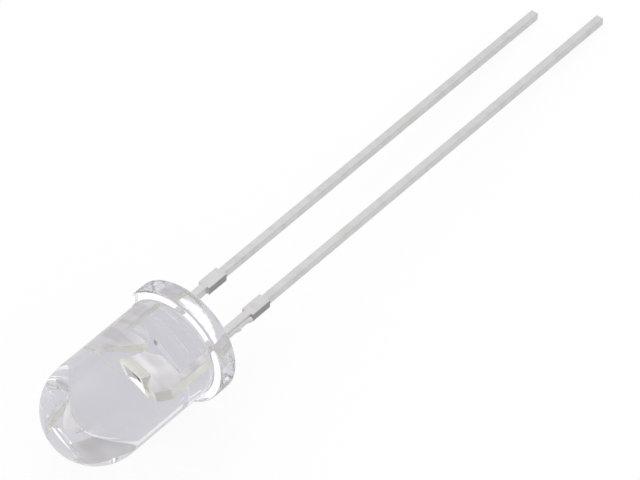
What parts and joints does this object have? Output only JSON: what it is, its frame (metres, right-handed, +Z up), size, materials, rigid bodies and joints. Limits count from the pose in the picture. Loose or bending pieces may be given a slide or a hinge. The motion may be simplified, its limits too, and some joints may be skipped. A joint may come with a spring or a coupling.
{
  "type": "through hole led",
  "caption": "Clear round-topped LED with a flanged epoxy lens, a reflector cup seen inside it and straight square leads of unequal length with cut tie bar stubs.",
  "frame": {"origin": "centre of the flange's flat back face, where the leads leave the lens", "axes": "+Z up from the surface the LED lies on; the leads run along +X and the dome points to -X; the lens axis lies in the XZ plane and falls 5.5 degrees towards the lead tips; the cathode lead is on +Y and the anode lead on -Y"},
  "size_m": [0.0377, 0.0054, 0.006],
  "materials": {
    "clear_epoxy": "water-clear cast epoxy, polished",
    "tinned_steel": "dull tin plate over stamped steel, bare at the sheared stub ends",
    "semiconductor": "sawn crystal, dark red",
    "silver_adhesive": "silver-filled epoxy, matt",
    "gold_wire": "bright gold"
  },
  "bodies": {
    "root": {"lens_body": "clear_epoxy", "cathode_frame": "tinned_steel", "anode_frame": "tinned_steel", "led_die": "semiconductor", "die_attach": "silver_adhesive", "bond_wire": "gold_wire"}
  },
  "joints": []
}
